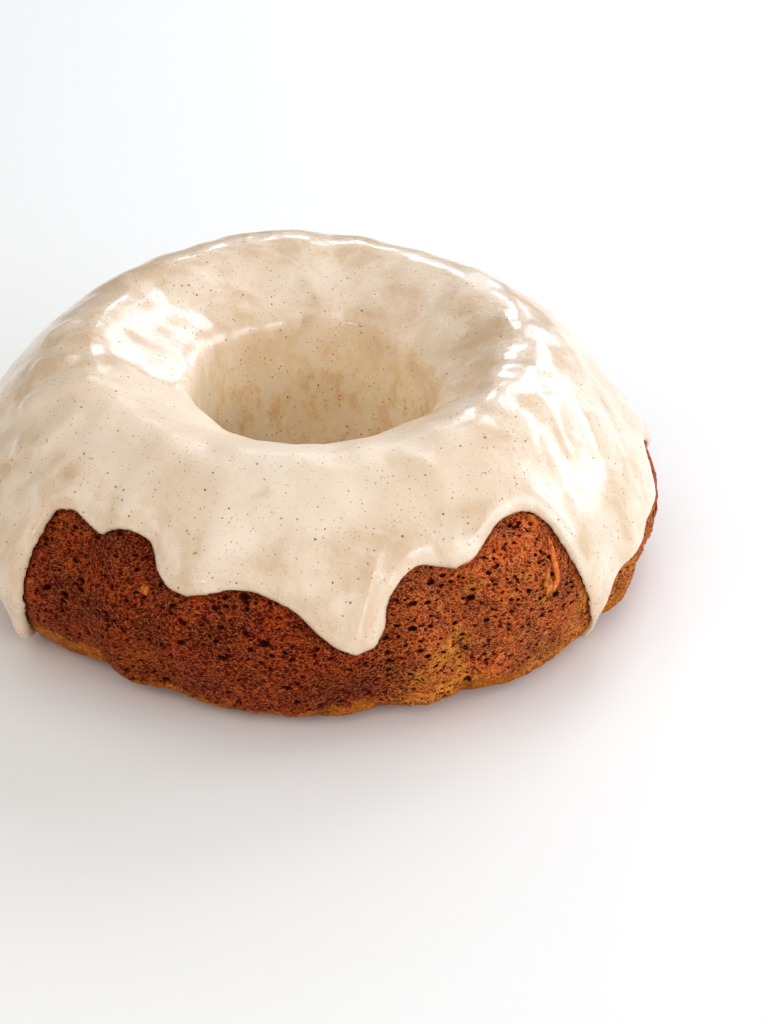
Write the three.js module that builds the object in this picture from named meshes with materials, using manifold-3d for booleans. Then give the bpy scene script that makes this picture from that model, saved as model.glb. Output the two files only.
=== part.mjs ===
// A fluted ring cake with a poured icing coat. Millimetres, +Z up, front towards -Y.
// Angles are degrees from the front, positive towards +X.
import * as THREE from "three";
import Module from "manifold-3d";

// The sponge: one ring, baked upside down in a tube tin.
const SPONGE_HEIGHT = 81.5;
const CREST_RADIUS = 76; // circle through the highest points
const CREST_BEND = 20; // radius of the section's bend over the crest
const SHOULDER_SLOPE = 39; // degrees that the crown falls outside the crest's bend
const WIDEST_RADIUS = 121.5;
const WIDEST_HEIGHT = 29;
const CROWN_HANDLES = [13, 11]; // how far the crown holds its direction at its foot and its top
const LIP_RADIUS = 117; // lower edge of the wall, above the under side's curve
const LIP_HEIGHT = 10;
const REST_OUTER_RADIUS = 96; // the flat ring that the cake stands on
const REST_INNER_RADIUS = 58;
const FUNNEL_SLOPE = 27.5; // degrees that the funnel falls towards the hole
const RIM_BEND = 7; // radius of the bend from the funnel into the tube
const TUBE_TOP_RADIUS = 45; // the tube narrows on its way down
const TUBE_FOOT_RADIUS = 41;
const HOLE_EDGE_HEIGHT = 11;
const BASE_SHIFT = [6, 3]; // the foot is baked off the crown's centre by this much
const BASE_SHIFT_TOP = 55; // height at which that shift has died away
// Places where the foot bulges out or draws in.
const FOOT_SWELLS = [
  { angle: -57, width: 6.5, out: 2.6 },
  { angle: -1, width: 14, out: -1.4 },
  { angle: 50, width: 12, out: -2 },
  { angle: 65, width: 7, out: 1 },
];
const TUBE_SHIFT = [3.5, -1]; // the tube stands off the crown's centre by this much
const CROWN_TILT = 2; // the crown rose this much more on one side, and less opposite it
const CROWN_TILT_ANGLE = 205;
const HUMP = { angle: 182, width: 15, height: 1.8 }; // a low rise of the crown at the back

// Seven wide lobes stand between seven narrow ribs, with a groove on each side of a rib.
const RIB_ANGLES = [-32, 19, 66, 116, 168, 219, 272];
const RIB_HALF_WIDTH = 6.5;
const RIB_DROP = 0.8; // rib tops lie this much inside the lobes
const GROOVE_DEPTH = 3.2;
const GROOVE_WIDTH = 4;
const LOBE_FALL = 1.8; // a lobe's flanks fall this far before the groove begins
const GROOVE_UNEVENNESS = 0.3; // share by which grooves are deeper or shallower than that
const LUMP_HEIGHT = 0.9;

// The icing coat, poured over the crown and into the hole.
const ICING_THICKNESS = 3;
const ICING_BEAD = 0.9; // extra thickness of the rounded edge
const BEAD_WIDTH = 3.2; // distance from the edge over which the bead rounds up
const ICING_GAP = 0.3; // clearance between the two solids
const MERGE_TOLERANCE = 0.05; // triangles this nearly flat are merged after the cut
const ICING_FLUTE_SHARE = 0.3; // how much of the flutes shows through the coat
const HOLE_ICING_HEIGHT = 17; // the coat ends this far above the table in the hole
// Arch tops and drip tips of the coat's lower edge, as [angle, height].
const ICING_EDGE = [
  [-75, 48], [-60.3, 41], [-58.3, 8], [-56, 5.5], [-52.5, 17], [-49.8, 28], [-49.1, 46], [-48.7, 55],
  [-47.6, 60], [-45.2, 61.4], [-42, 60], [-38.2, 58.2], [-32, 62.5], [-27, 61.5], [-24, 53], [-18.5, 49.5],
  [-9, 53.5], [-1, 49], [5, 37.5], [9, 33.5], [13, 38], [15.3, 50], [21.5, 57.5], [29, 53.7],
  [39.5, 62], [43.5, 62], [48, 56.5], [49.3, 42], [50, 24], [52, 14], [54.8, 17.5], [57.3, 23],
  [60.5, 27], [66, 29], [79, 32], [84, 40], [90, 42], [97, 34], [101, 26], [105, 24], [109, 33],
  [116, 52], [122, 58], [134, 56], [141, 41], [150, 60], [164, 52], [169, 32], [174, 20], [178, 34],
  [184, 58], [197, 61], [206, 44], [214, 55], [226, 60], [234, 40], [240, 30], [246, 40],
  [254, 48], [264, 46], [273, 40],
];

const FULL_TURN = 360;
const degrees = (angle) => (angle * Math.PI) / 180;
const lerp = THREE.MathUtils.lerp;
const smooth = (x) => THREE.MathUtils.smoothstep(x, 0, 1);
const bell = (x) => Math.exp(-x * x);

/** Degrees from one angle to another, the short way round. */
const turnFrom = (from, to) =>
  THREE.MathUtils.euclideanModulo(to - from + FULL_TURN / 2, FULL_TURN) - FULL_TURN / 2;

/** Quarter of an ellipse, upright at [r0, z0] for t = 0 and level at [r1, z1] for t = 1. */
function quarter(r0, z0, r1, z1, t) {
  const a = (t * Math.PI) / 2;
  return [r1 + (r0 - r1) * Math.cos(a), z0 + (z1 - z0) * Math.sin(a)];
}

/** Point on a circular bend of the section, round [r, z]. */
function bend(r, z, radius, from, to, t) {
  const a = degrees(lerp(from, to, t));
  return [r + radius * Math.cos(a), z + radius * Math.sin(a)];
}

// The funnel runs straight between two bends. Its upper end fixes how low the rim's bend lies.
const LEVEL = 90; // direction of a bend's centre line where the section is level
const crestTurn = LEVEL - SHOULDER_SLOPE;
const funnelTurn = LEVEL + FUNNEL_SLOPE;
const rimCentre = TUBE_TOP_RADIUS + RIM_BEND;
const overCrest = (t) =>
  bend(CREST_RADIUS, SPONGE_HEIGHT - CREST_BEND, CREST_BEND, crestTurn, funnelTurn, t);
const funnelHead = overCrest(1);
const funnelFootRadius = rimCentre + RIM_BEND * Math.cos(degrees(funnelTurn));
const funnelDrop = (funnelHead[0] - funnelFootRadius) * Math.tan(degrees(FUNNEL_SLOPE));
const funnelFoot = [funnelFootRadius, funnelHead[1] - funnelDrop];
const rimHeight = funnelFoot[1] - RIM_BEND * Math.sin(degrees(funnelTurn));

// The crown sweeps up from the upright wall and meets the crest's bend in line with it.
const crown = new THREE.CubicBezierCurve(
  new THREE.Vector2(WIDEST_RADIUS, WIDEST_HEIGHT),
  new THREE.Vector2(WIDEST_RADIUS, WIDEST_HEIGHT + CROWN_HANDLES[0]),
  new THREE.Vector2(...overCrest(0)).add(
    new THREE.Vector2(CROWN_HANDLES[1], 0).rotateAround(new THREE.Vector2(), degrees(-SHOULDER_SLOPE)),
  ),
  new THREE.Vector2(...overCrest(0)),
);

// The ring's section, anticlockwise from the outer edge of the rest face. Each stretch takes t
// from 0 to 1, rows is how many rows of the sponge's mesh it carries, and flutes is the share of
// the flutes' depth that shows at its start.
const STRETCHES = [
  { name: "under side", rows: 3, flutes: 0,
    at: (t) => quarter(LIP_RADIUS, LIP_HEIGHT, REST_OUTER_RADIUS, 0, 1 - t) },
  { name: "wall", rows: 2, flutes: 1,
    at: (t) => [
      lerp(LIP_RADIUS, WIDEST_RADIUS, Math.sin((t * Math.PI) / 2)),
      lerp(LIP_HEIGHT, WIDEST_HEIGHT, t),
    ] },
  { name: "crown", rows: 6, flutes: 1, at: (t) => crown.getPoint(t).toArray() },
  { name: "crest bend", rows: 3, flutes: 0.6, at: overCrest },
  { name: "funnel", rows: 2, flutes: 0.35,
    at: (t) => [lerp(funnelHead[0], funnelFoot[0], t), lerp(funnelHead[1], funnelFoot[1], t)] },
  { name: "rim bend", rows: 3, flutes: 0.3,
    at: (t) => bend(rimCentre, rimHeight, RIM_BEND, funnelTurn, 2 * LEVEL, t) },
  { name: "tube", rows: 2, flutes: 0.25,
    at: (t) => [
      lerp(TUBE_TOP_RADIUS, TUBE_FOOT_RADIUS, t),
      lerp(rimHeight, HOLE_EDGE_HEIGHT, t),
    ] },
  { name: "inner edge", rows: 2, flutes: 0.15,
    at: (t) => quarter(TUBE_FOOT_RADIUS, HOLE_EDGE_HEIGHT, REST_INNER_RADIUS, 0, t) },
];
// Values of q at the ends of the crest's bend and of the rim's bend.
const CROWN_TOP = 3;
const FUNNEL_TOP = 4;
const RIM_TOP = 5;
const TUBE_TOP = 6;
const PROFILE_END = STRETCHES.length;

/** Point [radius, height] of the plain section at q, whose whole part is the stretch. */
function profileAt(q) {
  const i = Math.min(Math.floor(q), PROFILE_END - 1);
  return STRETCHES[i].at(q - i);
}

/** Outward unit normal [radial, upward] of the plain section at q. */
function profileNormal(q) {
  const step = 0.02;
  const [r0, z0] = profileAt(Math.max(q - step, 0));
  const [r1, z1] = profileAt(Math.min(q + step, PROFILE_END));
  const length = Math.hypot(r1 - r0, z1 - z0);
  return [(z1 - z0) / length, -(r1 - r0) / length];
}

/** Depth of the flutes at an angle: 0 on a lobe's middle, negative in a groove. */
function flute(angle) {
  const ribs = RIB_ANGLES.length;
  const turned = THREE.MathUtils.euclideanModulo(angle - RIB_ANGLES[0], FULL_TURN) + RIB_ANGLES[0];
  const k = RIB_ANGLES.findLastIndex((rib) => rib <= turned);
  const next = k + 1 < ribs ? RIB_ANGLES[k + 1] : RIB_ANGLES[0] + FULL_TURN;
  const before = turned - RIB_ANGLES[k];
  const after = next - turned;
  const near = Math.min(before, after);
  const half = (next - RIB_ANGLES[k]) / 2;
  const flank = THREE.MathUtils.clamp((half - near) / (half - RIB_HALF_WIDTH), 0, 1);
  const fall = LOBE_FALL * flank * flank * smooth((near - RIB_HALF_WIDTH / 2) / RIB_HALF_WIDTH);
  const drop = RIB_DROP * bell(near / RIB_HALF_WIDTH);
  const rightOfRib = before < after;
  const uneven = 1 + GROOVE_UNEVENNESS * Math.sin(2.1 * k + (rightOfRib ? 0.6 : 2.4));
  const groove = GROOVE_DEPTH * uneven * bell((near - RIB_HALF_WIDTH) / GROOVE_WIDTH);
  return -fall - drop - groove;
}

/** Slow unevenness of the bake, from a few waves that run round the ring and up its wall. */
function lump(angle, q) {
  const a = degrees(angle);
  const broad = 0.5 * Math.sin(3 * a + 1.1 * q + 0.4);
  const middling = 0.35 * Math.sin(5 * a - 1.7 * q + 2);
  const narrow = 0.3 * Math.sin(11 * a + 2.3 * q);
  return LUMP_HEIGHT * (broad + middling + narrow);
}

/** How far the foot bulges out at an angle. */
function footSwell(angle) {
  const swells = FOOT_SWELLS.map((at) => at.out * bell(turnFrom(at.angle, angle) / at.width));
  return swells.reduce((sum, swell) => sum + swell);
}

/** Point of the surface at angle and q, lifted off the sponge along the section's normal. */
function surfacePoint(angle, q, lift = 0, fluteShare = 1) {
  const knot = Math.min(Math.floor(q), PROFILE_END - 1);
  const share = lerp(STRETCHES[knot].flutes, STRETCHES[knot + 1]?.flutes ?? 0, q - knot);
  const free = Math.min(1, q, PROFILE_END - q); // the rest face stays flat
  const [r, z] = profileAt(q);
  const [nr, nz] = profileNormal(q);
  const out = lift + flute(angle) * share * fluteShare + lump(angle, q) * free;
  const tilt = CROWN_TILT * Math.cos(degrees(angle - CROWN_TILT_ANGLE));
  const hump = HUMP.height * bell(turnFrom(HUMP.angle, angle) / HUMP.width);
  const height = z + nz * out + (tilt + hump) * smooth(z / SPONGE_HEIGHT);
  const lean = 1 - smooth(height / BASE_SHIFT_TOP);
  const inTube = smooth(q - FUNNEL_TOP);
  const swell = footSwell(angle) * lean * (1 - inTube);
  const radius = r + nr * out + swell;
  return new THREE.Vector3(
    radius * Math.sin(degrees(angle)) + lerp(BASE_SHIFT[0] * lean, TUBE_SHIFT[0], inTube),
    -radius * Math.cos(degrees(angle)) + lerp(BASE_SHIFT[1] * lean, TUBE_SHIFT[1], inTube),
    height,
  );
}

/** Closed ring mesh: columns of points, each a loop round the section, joined to the next. */
function ringGeometry(columns) {
  const rows = columns[0].length;
  const positions = columns.flat().flatMap((p) => [p.x, p.y, p.z]);
  const index = [];
  for (let c = 0; c < columns.length; c++) {
    const here = c * rows;
    const there = ((c + 1) % columns.length) * rows;
    for (let j = 0; j < rows; j++) {
      const up = (j + 1) % rows;
      index.push(here + j, there + j, there + up);
      index.push(here + j, there + up, here + up);
    }
  }
  const geometry = new THREE.BufferGeometry();
  geometry.setAttribute("position", new THREE.Float32BufferAttribute(positions, 3));
  return geometry.setIndex(index);
}

/** Evenly spaced values from one to the other, without the first and with the last. */
function spaced(from, to, count) {
  return Array.from({ length: count }, (_, i) => lerp(from, to, (i + 1) / count));
}

/** Angles of the sponge's columns: close together over each rib, wide apart over each lobe. */
function spongeAngles() {
  const ribColumns = [-9.5, -6.5, -3.8, 0, 3.8, 6.5, 9.5]; // degrees from a rib's middle
  const lobeColumns = 5;
  return RIB_ANGLES.flatMap((rib, k) => {
    const next = RIB_ANGLES[k + 1] ?? RIB_ANGLES[0] + FULL_TURN;
    const lobe = spaced(rib + ribColumns.at(-1), next + ribColumns[0], lobeColumns + 1);
    return [...ribColumns.map((step) => rib + step), ...lobe.slice(0, -1)];
  });
}

/** The sponge's mesh, grown by a lift along its normals. */
function spongeGeometry(lift) {
  const stations = [0, ...STRETCHES.flatMap(({ rows }, i) => spaced(i, i + 1, rows))];
  const columns = spongeAngles().map((angle) => stations.map((q) => surfacePoint(angle, q, lift)));
  return ringGeometry(columns);
}

// Arc length along the plain section, so that the icing's rows can be set out in millimetres.
const ARC_STEPS_PER_STRETCH = 60;
const arc = [0];
for (let i = 1; i <= PROFILE_END * ARC_STEPS_PER_STRETCH; i++) {
  const [r0, z0] = profileAt((i - 1) / ARC_STEPS_PER_STRETCH);
  const [r1, z1] = profileAt(i / ARC_STEPS_PER_STRETCH);
  arc.push(arc[i - 1] + Math.hypot(r1 - r0, z1 - z0));
}

/** The station q at a given arc length. */
function stationAt(length) {
  const i = THREE.MathUtils.clamp(arc.findIndex((s) => s > length), 1, arc.length - 1);
  return (i - 1 + (length - arc[i - 1]) / (arc[i] - arc[i - 1])) / ARC_STEPS_PER_STRETCH;
}

/** Arc length where the plain section reaches a height, on the outer wall or in the hole. */
function arcAtHeight(height, inHole) {
  const heights = arc.map((_, i) => profileAt(i / ARC_STEPS_PER_STRETCH)[1]);
  const found = inHole
    ? heights.findIndex((z, i) => i > FUNNEL_TOP * ARC_STEPS_PER_STRETCH && z < height)
    : heights.findIndex((z) => z > height);
  const share = (height - heights[found - 1]) / (heights[found] - heights[found - 1]);
  return lerp(arc[found - 1], arc[found], share);
}

/** Entry k of the coat's lower edge, as [angle, height], counted on round the cake. */
function edgePoint(k) {
  const turns = Math.floor(k / ICING_EDGE.length);
  const [angle, height] = ICING_EDGE[k - turns * ICING_EDGE.length];
  return [angle + turns * FULL_TURN, height];
}

/** Slope of the lower edge at entry k: level at an arch top or a drip tip. */
function edgeSlope(k) {
  const [a0, h0] = edgePoint(k - 1);
  const [a1, h1] = edgePoint(k);
  const [a2, h2] = edgePoint(k + 1);
  const before = (h1 - h0) / (a1 - a0);
  const after = (h2 - h1) / (a2 - a1);
  return before * after <= 0 ? 0 : (2 * before * after) / (before + after);
}

/** Height of the coat's lower edge at an angle, on a smooth curve through its entries. */
function edgeHeight(angle) {
  const first = ICING_EDGE[0][0];
  const turned = THREE.MathUtils.euclideanModulo(angle - first, FULL_TURN) + first;
  const k = ICING_EDGE.findLastIndex(([at]) => at <= turned);
  const [from, h0] = edgePoint(k);
  const [to, h1] = edgePoint(k + 1);
  const t = (turned - from) / (to - from);
  const lead = edgeSlope(k) * (to - from) * t * (1 - t) * (1 - t);
  const trail = edgeSlope(k + 1) * (to - from) * t * t * (t - 1);
  return lerp(h0, h1, smooth(t)) + lead + trail;
}

/** Height of the coat's edge in the hole, which runs up and down in two slow waves. */
function holeEdgeHeight(angle) {
  const a = degrees(angle);
  return HOLE_ICING_HEIGHT + 2.5 * Math.sin(3 * a + 1) + 1.5 * Math.sin(7 * a);
}

/** Angles of the icing's columns: evenly spaced, and closer where the edge runs steeply. */
function icingAngles() {
  const columns = 126;
  const samples = 2880;
  const widest = 4.2; // degrees between columns where the edge is level
  const drop = 13; // millimetres of height between columns where it is steep
  const cost = [0];
  for (let i = 1; i <= samples; i++) {
    const from = ((i - 1) / samples) * FULL_TURN;
    const to = (i / samples) * FULL_TURN;
    const fall = Math.abs(edgeHeight(to) - edgeHeight(from));
    cost.push(cost[i - 1] + (to - from) / widest + fall / drop);
  }
  return Array.from({ length: columns }, (_, c) => {
    const wanted = (c / columns) * cost[samples];
    const i = cost.findIndex((sum) => sum > wanted);
    return ((i - 1 + (wanted - cost[i - 1]) / (cost[i] - cost[i - 1])) / samples) * FULL_TURN;
  });
}

/** Shortest distance from a point to a closed run of points. */
function distanceToEdge(point, edge) {
  const near = new THREE.Vector3();
  const line = new THREE.Line3();
  let least = Infinity;
  edge.forEach((start, i) => {
    line.set(start, edge[(i + 1) % edge.length]).closestPointToPoint(point, true, near);
    least = Math.min(least, near.distanceTo(point));
  });
  return least;
}

/** The coat before the sponge is cut out of it: its top, closed through the sponge's inside. */
function icingGeometry() {
  const fromOuterEdge = [0, 0.7, 2.2, 5]; // rows that round up the bead
  const fromHoleEdge = 1.8;
  const bareShoulder = 72; // the rows above this height are level, clear of every arch
  const sunk = -3; // the hidden edge rows lie this deep in the sponge
  const tuck = 1.5; // and this far past the edge
  const heart = [80, 38]; // radius and height of the hidden row that closes the loop
  const angles = icingAngles();
  const shoulder = arcAtHeight(bareShoulder, false);
  const [crownTop, funnelTop, rimTop, tubeTop] = [CROWN_TOP, FUNNEL_TOP, RIM_TOP, TUBE_TOP].map(
    (q) => arc[q * ARC_STEPS_PER_STRETCH],
  );
  const ends = angles.map((angle) => [
    arcAtHeight(edgeHeight(angle), false),
    arcAtHeight(holeEdgeHeight(angle), true),
  ]);
  const outerEdge = angles.map((angle, i) => surfacePoint(angle, stationAt(ends[i][0])));
  const holeEdge = angles.map((angle, i) => surfacePoint(angle, stationAt(ends[i][1])));
  const columns = angles.map((angle, i) => {
    const [start, end] = ends[i];
    const lengths = [
      ...fromOuterEdge.map((s) => start + s),
      ...spaced(start + fromOuterEdge.at(-1), shoulder, 4),
      ...spaced(shoulder, crownTop, 1),
      ...spaced(crownTop, funnelTop, 3),
      ...spaced(funnelTop, rimTop, 2),
      ...spaced(rimTop, tubeTop, 4),
      ...spaced(tubeTop, end - fromHoleEdge, 2),
      end,
    ];
    const top = lengths.map((s) => {
      const q = stationAt(s);
      const foot = surfacePoint(angle, q);
      const d = Math.min(distanceToEdge(foot, outerEdge), distanceToEdge(foot, holeEdge));
      const round = Math.sqrt(1 - (1 - Math.min(d / BEAD_WIDTH, 1)) ** 2);
      const bead = ICING_BEAD * bell((d - BEAD_WIDTH) / (2 * BEAD_WIDTH));
      const share = lerp(1, ICING_FLUTE_SHARE, smooth(d / (4 * BEAD_WIDTH)));
      return surfacePoint(angle, q, (ICING_THICKNESS + bead) * round, share);
    });
    const a = degrees(angle);
    return [
      ...top,
      surfacePoint(angle, stationAt(end + tuck), sunk),
      new THREE.Vector3(heart[0] * Math.sin(a), -heart[0] * Math.cos(a), heart[1]),
      surfacePoint(angle, stationAt(start - tuck), sunk),
    ];
  });
  return ringGeometry(columns);
}

const wasm = await Module();
wasm.setup();

function solidOf(geometry) {
  return new wasm.Manifold(
    new wasm.Mesh({
      numProp: 3,
      vertProperties: geometry.getAttribute("position").array,
      triVerts: new Uint32Array(geometry.index.array),
    }),
  );
}

/** The largest body of a solid, as a geometry: a cut can leave loose scraps. */
function largestBody(solid) {
  const bodies = solid.decompose().sort((a, b) => b.volume() - a.volume());
  const mesh = bodies[0].simplify(MERGE_TOLERANCE).getMesh();
  const geometry = new THREE.BufferGeometry();
  geometry.setAttribute("position", new THREE.BufferAttribute(mesh.vertProperties, 3));
  return geometry.setIndex(new THREE.BufferAttribute(mesh.triVerts, 1));
}

function makeSponge() {
  const crumb = new THREE.MeshStandardMaterial({ color: "#93502c", roughness: 0.9, metalness: 0 });
  const mesh = new THREE.Mesh(spongeGeometry(0), crumb);
  mesh.name = "sponge";
  return mesh;
}

function makeIcing() {
  const glaze = new THREE.MeshStandardMaterial({ color: "#ead8be", roughness: 0.25, metalness: 0 });
  const coat = solidOf(icingGeometry()).subtract(solidOf(spongeGeometry(ICING_GAP)));
  const mesh = new THREE.Mesh(largestBody(coat), glaze);
  mesh.name = "icing";
  return mesh;
}

const cake = new THREE.Group();
cake.add(makeSponge(), makeIcing());

// The origin is the centre of the cake's box, on the table.
const middle = new THREE.Box3().setFromObject(cake).getCenter(new THREE.Vector3());
cake.position.set(-middle.x, -middle.y, 0);

export default cake;
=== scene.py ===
"""Dresses the solids of a fluted ring cake: open brown crumb, poured cream icing, carrot shreds."""

import math
import random
from functools import partial

import bpy
import numpy as np
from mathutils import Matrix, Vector, noise
from mathutils.bvhtree import BVHTree


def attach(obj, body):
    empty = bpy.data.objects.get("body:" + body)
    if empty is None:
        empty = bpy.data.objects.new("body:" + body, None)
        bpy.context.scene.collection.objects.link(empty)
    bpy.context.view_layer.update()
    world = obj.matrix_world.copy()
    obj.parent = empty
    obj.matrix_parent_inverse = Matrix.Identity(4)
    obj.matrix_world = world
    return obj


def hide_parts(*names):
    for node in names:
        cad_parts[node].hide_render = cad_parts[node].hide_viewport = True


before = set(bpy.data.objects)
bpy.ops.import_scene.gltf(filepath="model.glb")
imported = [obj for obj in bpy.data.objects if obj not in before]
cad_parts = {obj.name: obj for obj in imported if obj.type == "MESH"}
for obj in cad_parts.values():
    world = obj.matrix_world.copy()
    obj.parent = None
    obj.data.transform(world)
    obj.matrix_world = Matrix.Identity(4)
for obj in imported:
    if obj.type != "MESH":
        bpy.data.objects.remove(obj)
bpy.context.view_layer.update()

bl_info = {
    "name": "Fluted ring cake",
    "version": (1, 0, 0),
    "blender": (4, 5, 0),
    "location": "View3D > Sidebar > Cake",
    "description": "Crumb, icing and light for a fluted ring cake",
    "category": "Object",
}

MM = 0.001
TO_MM = (1000, 1000, 1000)
BODY = "root"


# ---------------------------------------------------------------- small tools


def linear(hex_colour):
    """An sRGB hex value as linear RGBA."""
    channels = [int(hex_colour[i : i + 2], 16) / 255 for i in (1, 3, 5)]
    return tuple(c / 12.92 if c <= 0.04045 else ((c + 0.055) / 1.055) ** 2.4 for c in channels) + (1.0,)


# Kinds of node, each as (Blender's name, settings, the inputs that take the values in order, the
# output in use). A smooth step takes a value, where it starts and ends, and what it gives there;
# noise takes a place, one over its size in millimetres, its detail and its roughness.
ADD = ("ShaderNodeMath", {"operation": "ADD"}, (0, 1), 0)
SUBTRACT = ("ShaderNodeMath", {"operation": "SUBTRACT"}, (0, 1), 0)
MULTIPLY = ("ShaderNodeMath", {"operation": "MULTIPLY"}, (0, 1), 0)
DIVIDE = ("ShaderNodeMath", {"operation": "DIVIDE"}, (0, 1), 0)
MAXIMUM = ("ShaderNodeMath", {"operation": "MAXIMUM"}, (0, 1), 0)
GREATER = ("ShaderNodeMath", {"operation": "GREATER_THAN"}, (0, 1), 0)
SMOOTH_STEP = ("ShaderNodeMapRange", {"interpolation_type": "SMOOTHSTEP"}, (0, 1, 2, 3, 4), 0)
MOVE = ("ShaderNodeVectorMath", {"operation": "ADD"}, (0, 1), 0)
MOVE_BACK = ("ShaderNodeVectorMath", {"operation": "SUBTRACT"}, (0, 1), 0)
STRETCH = ("ShaderNodeVectorMath", {"operation": "MULTIPLY"}, (0, 1), 0)
LENGTHEN = ("ShaderNodeVectorMath", {"operation": "SCALE"}, (0, "Scale"), 0)
SPLIT = ("ShaderNodeSeparateXYZ", {}, (0,), 0)
NOISE = ("ShaderNodeTexNoise", {}, ("Vector", "Scale", "Detail", "Roughness"), 0)
CELLS = ("ShaderNodeTexVoronoi", {}, ("Vector", "Scale"), "Distance")
MIX = ("ShaderNodeMix", {"data_type": "RGBA"}, (0, 6, 7), 2)
BUMP = ("ShaderNodeBump", {}, ("Height", "Strength", "Distance"), 0)
OBJECT_PLACE = ("ShaderNodeTexCoord", {}, (), "Object")
STORED = ("ShaderNodeAttribute", {}, (), "Fac")
MESH_IN = ("NodeGroupInput", {}, (), 0)
MESH_PLACE = ("GeometryNodeInputPosition", {}, (), 0)
MESH_NORMAL = ("GeometryNodeInputNormal", {}, (), 0)
MESH_STORED = ("GeometryNodeInputNamedAttribute", {"data_type": "FLOAT"}, ("Name",), 0)
STORE = (
    "GeometryNodeStoreNamedAttribute", {"data_type": "FLOAT_VECTOR", "domain": "POINT"},
    ("Geometry", "Name", "Value"), 0,
)
SET_PLACE = ("GeometryNodeSetPosition", {}, ("Geometry", "Offset"), 0)


def feed(tree, node, values):
    """Gives a node its input values: a socket is linked, anything else is set as a constant."""
    for key, value in values.items():
        if isinstance(value, bpy.types.NodeSocket):
            tree.links.new(value, node.inputs[key])
        else:
            node.inputs[key].default_value = value


def add_node(tree, kind, *values, out=None, **settings):
    """Adds a node of a kind with its settings and values, and gives one of its outputs."""
    name, usual_settings, inputs, usual_out = kind
    node = tree.nodes.new(name)
    for key, value in {**usual_settings, **settings}.items():
        setattr(node, key, value)
    feed(tree, node, dict(zip(inputs, values)))
    return node.outputs[usual_out if out is None else out]


def new_material(name):
    """A material, with the functions that add nodes to it and feed its shader."""
    material = bpy.data.materials.new(name)
    material.use_nodes = True
    tree = material.node_tree
    tree.nodes.clear()
    shader = tree.nodes.new("ShaderNodeBsdfPrincipled")
    tree.links.new(shader.outputs[0], tree.nodes.new("ShaderNodeOutputMaterial").inputs["Surface"])
    return material, partial(add_node, tree), partial(feed, tree, shader)


def shifted(add, place, pattern, reach):
    """A place moved by a colour pattern, to make straight patterns wander."""
    centred = add(MOVE_BACK, pattern, (0.5, 0.5, 0.5))
    return add(MOVE, place, add(STRETCH, centred, reach))


SMALLEST_DOT = 0.45  # radius of the smallest dots next to the widest


def dots(add, place, size, share, radius):
    """Round dots in a share of the cells of a size in millimetres, each with its own radius up to
    a share of the cell, as (how far inside a dot a place is, a random number for each dot)."""
    distance = add(CELLS, place, 1 / size)
    chance = add(SPLIT, distance.node.outputs["Color"])
    reach = add(SMOOTH_STEP, chance, 1 - share, 1.0, SMALLEST_DOT * radius, radius)
    inside = add(DIVIDE, add(SUBTRACT, reach, distance), reach, use_clamp=True)
    return add(MULTIPLY, inside, add(GREATER, chance, 1 - share)), chance.node.outputs[1]


def deselect_all():
    if bpy.context.mode != "OBJECT":
        bpy.ops.object.mode_set(mode="OBJECT")
    bpy.ops.object.select_all(action="DESELECT")


def make_active(piece):
    deselect_all()
    piece.select_set(True)
    bpy.context.view_layer.objects.active = piece


def join(pieces):
    """Joins pieces into the first one."""
    make_active(pieces[0])
    for piece in pieces:
        piece.select_set(True)
    bpy.ops.object.join()
    return pieces[0]


def copy_of(node_name, piece_name):
    """A loose copy of a solid from the frame, with its doubled vertices merged."""
    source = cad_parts[node_name]
    piece = bpy.data.objects.new(piece_name, source.data.copy())
    piece.data.name = piece_name
    piece.data.materials.clear()
    bpy.context.scene.collection.objects.link(piece)
    make_active(piece)
    bpy.ops.object.mode_set(mode="EDIT")
    bpy.ops.mesh.select_all(action="SELECT")
    bpy.ops.mesh.remove_doubles(threshold=0.005 * MM)
    bpy.ops.object.mode_set(mode="OBJECT")
    return piece


def modify(piece, kind, **settings):
    """Adds a modifier and applies it."""
    make_active(piece)
    modifier = piece.modifiers.new(kind.lower(), kind)
    for name, value in settings.items():
        setattr(modifier, name, value)
    bpy.ops.object.modifier_apply(modifier=modifier.name)


def vertex_places(piece):
    values = np.empty(len(piece.data.vertices) * 3, np.float32)
    piece.data.vertices.foreach_get("co", values)
    return values.reshape(-1, 3)


def vertex_normals(piece):
    values = np.empty(len(piece.data.vertices) * 3, np.float32)
    piece.data.vertex_normals.foreach_get("vector", values)
    return values.reshape(-1, 3)


def set_vertices(piece, places):
    piece.data.vertices.foreach_set("co", places.astype(np.float32).ravel())
    piece.data.update()


WEIGHT_STEPS = 20


def weight_group(piece, name, weights):
    """A vertex group whose weights are given in order, in steps of a twentieth."""
    group = piece.vertex_groups.new(name=name)
    steps = np.round(np.clip(weights, 0, 1) * WEIGHT_STEPS).astype(int)
    for step in np.unique(steps):
        if step:
            group.add(np.flatnonzero(steps == step).tolist(), step / WEIGHT_STEPS, "REPLACE")


def store_values(piece, name, values):
    """Keeps one number a vertex on the mesh, for the piece's material to read."""
    attribute = piece.data.attributes.new(name, "FLOAT", "POINT")
    attribute.data.foreach_set("value", np.asarray(values, np.float32))


def thin_hidden(piece, hidden, keep, most):
    """Thins the mesh where hidden is 1, down to a share of its triangles there, and then all of
    it by its flattest places if it still has more triangles than the most it may have."""
    weight_group(piece, "hidden", hidden)
    ratio = 1 - (1 - keep) * float(np.mean(hidden > 0.5))
    modify(piece, "DECIMATE", ratio=ratio, vertex_group="hidden", vertex_group_factor=1.0)
    piece.vertex_groups.clear()
    triangles = sum(len(face.vertices) - 2 for face in piece.data.polygons)
    if triangles > most:
        modify(piece, "DECIMATE", ratio=most / triangles)


def smooth_step(x, low, high):
    t = np.clip((x - low) / (high - low), 0, 1)
    return t * t * (3 - 2 * t)


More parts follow.
